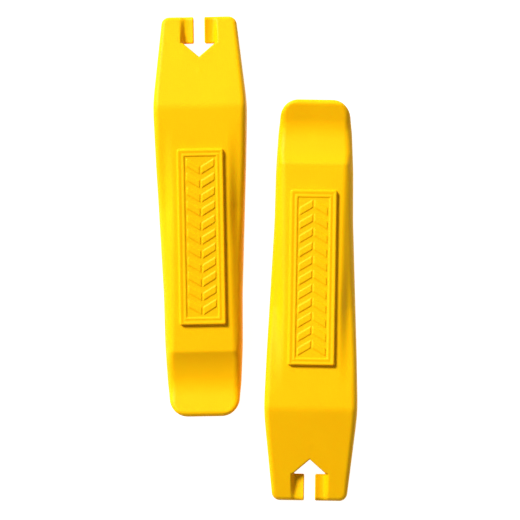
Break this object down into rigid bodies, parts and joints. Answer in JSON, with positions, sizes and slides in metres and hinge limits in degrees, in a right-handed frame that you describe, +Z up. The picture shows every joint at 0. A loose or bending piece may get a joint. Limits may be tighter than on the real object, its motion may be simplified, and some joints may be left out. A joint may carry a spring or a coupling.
{
  "type": "tyre lever",
  "caption": "Bicycle tyre levers: thick moulded bars, each with an upturned bead spoon, thumb rests, a raised label pad and an arrow-shaped spoke notch.",
  "frame": {"origin": "centre of the pair's bounding box, on the plane that both levers lie on", "axes": "+Y along the levers, towards the left lever's notch end; +X from the left lever to the right; +Z up, the way the pads face"},
  "size_m": [0.0636, 0.1514, 0.0121],
  "materials": {
    "yellow_plastic": "satin, as moulded"
  },
  "bodies": {
    "left_lever": {"left_lever": "yellow_plastic"},
    "right_lever": {"right_lever": "yellow_plastic"}
  },
  "joints": [
    {"name": "right_lever_lift", "type": "slide", "parent": "left_lever", "child": "right_lever", "axis": [0, 0, 1], "range_m": [0, 0.1]}
  ]
}
